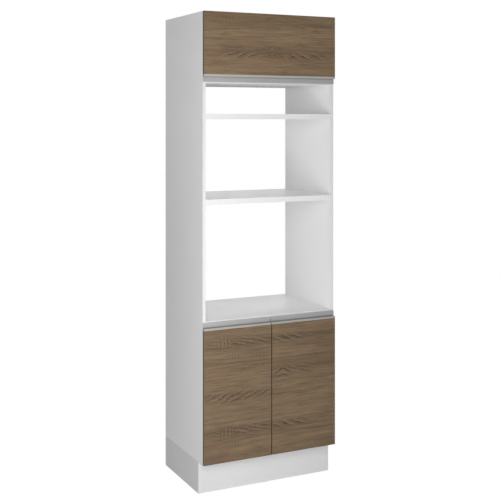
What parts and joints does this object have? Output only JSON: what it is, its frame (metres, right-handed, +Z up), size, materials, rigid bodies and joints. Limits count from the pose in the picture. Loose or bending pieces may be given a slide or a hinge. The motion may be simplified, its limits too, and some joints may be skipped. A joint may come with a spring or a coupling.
{
  "type": "tall oven cabinet",
  "caption": "Tall kitchen cabinet with open oven, microwave and tray niches, a lift-up flap above and a cupboard with hinged doors below, on a set-back plinth.",
  "frame": {"origin": "floor level, under the centre of the cabinet's width and of its depth with the doors shut", "axes": "+Z up, +X to the right as seen from the front, +Y from the doors to the rear"},
  "size_m": [0.7, 0.492, 2.25],
  "materials": {
    "beech": "plain beech",
    "black_metal": "black lacquer",
    "hardboard": "white lacquered hardboard",
    "nickel": "nickel plated",
    "oak_band": "dark brown edge band",
    "oak_board": "brown oak print melamine on chipboard",
    "profile": "satin anodised",
    "soft_clear": "clear soft pads",
    "white_band": "white edge band",
    "white_board": "white melamine on chipboard",
    "white_plastic": "moulded",
    "zinc": "zinc plated"
  },
  "bodies": {
    "carcass": {"side_panel_left": "white_board", "side_panel_right": "white_board", "top_panel": "white_board", "flap_compartment_floor": "white_board", "tray_shelf": "white_board", "microwave_shelf": "white_board", "oven_deck": "white_board", "base_floor": "white_board", "base_inner_shelf": "white_board", "upper_back_panel": "hardboard", "lower_back_panel": "hardboard", "loose_tenons": "beech", "carcass_edge_bands": "white_band", "shelf_pins": "nickel", "plinth_front": "white_board", "plinth_back": "white_board", "plinth_side_left": "white_board", "plinth_side_right": "white_board", "plinth_corner_blocks": "white_board", "plinth_glides": "white_plastic", "door_left_hinge_arms": "nickel", "door_left_hinge_plates": "nickel", "door_right_hinge_arms": "nickel", "door_right_hinge_plates": "nickel", "flap_hinge_arms": "nickel", "flap_hinge_plates": "nickel", "strut_side_bracket": "zinc", "wall_brackets": "zinc"},
    "door_left": {"door_left_panel": "oak_board", "door_left_edge_bands": "oak_band", "door_left_handle": "profile", "door_left_hinge_cups": "nickel", "door_left_bumpers": "soft_clear"},
    "door_right": {"door_right_panel": "oak_board", "door_right_edge_bands": "oak_band", "door_right_handle": "profile", "door_right_hinge_cups": "nickel", "door_right_bumpers": "soft_clear"},
    "flap": {"flap_panel": "oak_board", "flap_edge_bands": "oak_band", "flap_handle": "profile", "flap_hinge_cups": "nickel", "flap_bumpers": "soft_clear", "strut_flap_bracket": "zinc"},
    "door_left_links": {"door_left_hinge_links": "nickel"},
    "door_right_links": {"door_right_hinge_links": "nickel"},
    "flap_links": {"flap_hinge_links": "nickel"},
    "strut_tube": {"strut_tube": "black_metal"},
    "strut_rod": {"strut_rod": "nickel"}
  },
  "joints": [
    {"name": "door_left_hinge", "type": "hinge", "parent": "carcass", "child": "door_left", "pos_m": [-0.3442, -0.2433, 0.46125], "axis": [0, 0, -1], "range_deg": [0, 95]},
    {"name": "door_right_hinge", "type": "hinge", "parent": "carcass", "child": "door_right", "pos_m": [0.3442, -0.2433, 0.46125], "axis": [0, 0, 1], "range_deg": [0, 95]},
    {"name": "flap_hinge", "type": "hinge", "parent": "carcass", "child": "flap", "pos_m": [0, -0.2433, 2.2442], "axis": [-1, 0, 0], "range_deg": [0, 90]},
    {"name": "door_left_link_pivot", "type": "hinge", "parent": "carcass", "child": "door_left_links", "pos_m": [-0.3162, -0.2353, 0.46125], "axis": [0, 0, 1], "range_deg": [0, 38.77]},
    {"name": "door_right_link_pivot", "type": "hinge", "parent": "carcass", "child": "door_right_links", "pos_m": [0.3162, -0.2353, 0.46125], "axis": [0, 0, -1], "range_deg": [0, 38.77]},
    {"name": "flap_link_pivot", "type": "hinge", "parent": "carcass", "child": "flap_links", "pos_m": [0, -0.2353, 2.2162], "axis": [1, 0, 0], "range_deg": [0, 37.76]},
    {"name": "strut_tube_pivot", "type": "hinge", "parent": "carcass", "child": "strut_tube", "pos_m": [0.318, -0.039, 2.205], "axis": [-1, 0, 0], "range_deg": [0, 2.81]},
    {"name": "strut_rod_slide", "type": "slide", "parent": "strut_tube", "child": "strut_rod", "axis": [0, -0.9996, -0.0294], "range_m": [0, 0.07848]}
  ],
  "couplings": [
    {"joint": "door_left_link_pivot", "follows": "door_left_hinge", "ratio": 0.40812},
    {"joint": "door_right_link_pivot", "follows": "door_right_hinge", "ratio": 0.40812},
    {"joint": "flap_link_pivot", "follows": "flap_hinge", "ratio": 0.41959},
    {"joint": "strut_tube_pivot", "follows": "flap_hinge", "ratio": 0.03127},
    {"joint": "strut_rod_slide", "follows": "flap_hinge", "m_per_rad": 0.049959}
  ]
}
